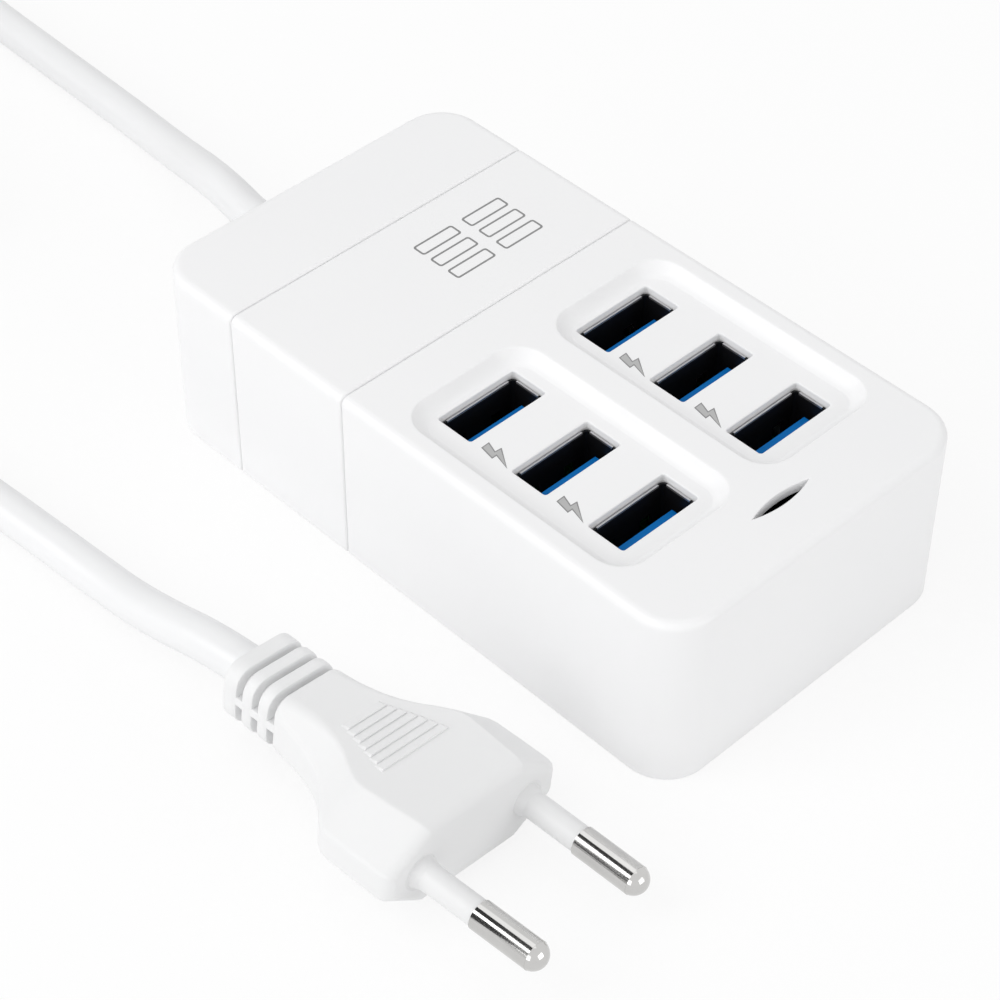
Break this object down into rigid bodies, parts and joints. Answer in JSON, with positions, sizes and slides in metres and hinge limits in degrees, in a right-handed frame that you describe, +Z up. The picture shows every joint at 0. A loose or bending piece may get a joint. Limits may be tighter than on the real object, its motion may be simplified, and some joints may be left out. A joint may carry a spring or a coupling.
{
  "type": "multi port usb charger",
  "caption": "Desktop USB charger: flat white housing with recessed USB-A ports in its top, an indicator window, and a fixed mains lead that ends in a flat plug with round pins.",
  "frame": {"origin": "middle of the housing's underside, on the surface it stands on", "axes": "+Z up through the port face, +Y along the housing towards the wall that the mains lead leaves, +X to the right seen from the front"},
  "size_m": [0.12, 0.2359, 0.028],
  "materials": {
    "white_shell": "satin white moulding",
    "white_cord": "satin white soft PVC",
    "plug_white": "fine matt white moulding",
    "screw_steel": "zinc plated",
    "shell_steel": "nickel plated sheet",
    "pin_metal": "nickel plated brass",
    "blue_tongue": "blue moulding",
    "contact_gold": "gold flashed",
    "board_green": "solder mask",
    "wire_brown": "insulation",
    "wire_blue": "insulation",
    "black_plastic": "moulded",
    "ferrite": "pressed ferrite",
    "winding": "taped winding",
    "can_aluminium": "sleeved can",
    "glass_fuse": "glass tube with metal caps",
    "blue_disc": "dipped disc",
    "led_lens": "clear lens",
    "tie_grey": "soft tie"
  },
  "bodies": {
    "root": {"front_housing": "white_shell", "centre_band": "white_shell", "rear_housing": "white_shell", "base_cover": "white_shell", "base_screws": "screw_steel", "strain_relief": "white_cord", "cord_stub": "white_cord", "wire_live": "wire_brown", "wire_neutral": "wire_blue", "main_board": "board_green", "board_screws": "screw_steel", "port_board": "board_green", "port_board_screws": "screw_steel", "link_header": "black_plastic", "link_pins": "contact_gold", "indicator_led": "led_lens", "usb_shell_1": "shell_steel", "usb_shell_2": "shell_steel", "usb_shell_3": "shell_steel", "usb_shell_4": "shell_steel", "usb_shell_5": "shell_steel", "usb_shell_6": "shell_steel", "usb_tongue_1": "blue_tongue", "usb_tongue_2": "blue_tongue", "usb_tongue_3": "blue_tongue", "usb_tongue_4": "blue_tongue", "usb_tongue_5": "blue_tongue", "usb_tongue_6": "blue_tongue", "usb_contacts_1": "contact_gold", "usb_contacts_2": "contact_gold", "usb_contacts_3": "contact_gold", "usb_contacts_4": "contact_gold", "usb_contacts_5": "contact_gold", "usb_contacts_6": "contact_gold", "transformer_core": "ferrite", "transformer_winding": "winding", "input_capacitor": "can_aluminium", "output_capacitors": "can_aluminium", "fuse": "glass_fuse", "bridge_rectifier": "black_plastic", "safety_capacitor": "blue_disc", "control_chips": "black_plastic", "cord_from_housing": "white_cord", "cord_coil": "white_cord", "cord_to_plug": "white_cord", "cord_tie": "tie_grey", "plug_body": "plug_white", "pin_sleeves": "plug_white", "plug_pins": "pin_metal"}
  },
  "joints": []
}
